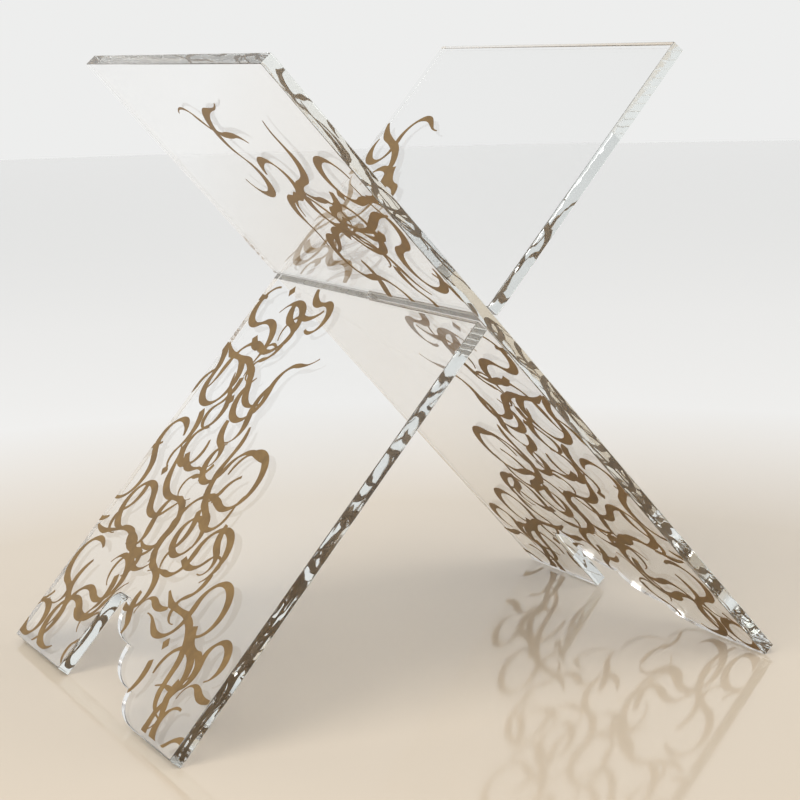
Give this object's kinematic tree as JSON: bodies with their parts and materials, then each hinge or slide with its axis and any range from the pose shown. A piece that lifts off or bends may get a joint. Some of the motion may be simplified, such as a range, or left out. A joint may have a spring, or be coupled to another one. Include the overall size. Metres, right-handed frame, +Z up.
{
  "type": "bible stand",
  "caption": "Clear acrylic X-shaped book stand: cross-lapped sloping panels with arched feet and gold scrollwork, which slide apart to pack flat.",
  "frame": {"origin": "on the floor, in the middle of the footprint and of the panels' width", "axes": "+X across the spread of the feet, +Y along the crossing line away from the side where panel B's slot opens, +Z up"},
  "size_m": [0.3868, 0.27, 0.3644],
  "materials": {
    "clear_acrylic": "water-clear cast acrylic, polished faces and edges",
    "gold_film": "satin antique gold, seen darker from the back"
  },
  "bodies": {
    "side_a": {"panel_a": "clear_acrylic", "gold_film_a_1": "gold_film", "gold_film_a_2": "gold_film", "gold_film_a_3": "gold_film", "gold_film_a_4": "gold_film", "gold_film_a_5": "gold_film", "gold_film_a_6": "gold_film", "gold_film_a_7": "gold_film", "gold_film_a_8": "gold_film", "gold_film_a_9": "gold_film", "gold_film_a_10": "gold_film", "gold_film_a_11": "gold_film", "gold_film_a_12": "gold_film"},
    "side_b": {"panel_b": "clear_acrylic", "gold_film_b_1": "gold_film", "gold_film_b_2": "gold_film", "gold_film_b_3": "gold_film", "gold_film_b_4": "gold_film", "gold_film_b_5": "gold_film", "gold_film_b_6": "gold_film", "gold_film_b_7": "gold_film", "gold_film_b_8": "gold_film", "gold_film_b_9": "gold_film", "gold_film_b_10": "gold_film", "gold_film_b_11": "gold_film", "gold_film_b_12": "gold_film", "gold_film_b_13": "gold_film"}
  },
  "joints": [
    {"name": "panel_b_slide", "type": "slide", "parent": "side_a", "child": "side_b", "axis": [0, 1, 0], "range_m": [0, 0.135]}
  ]
}
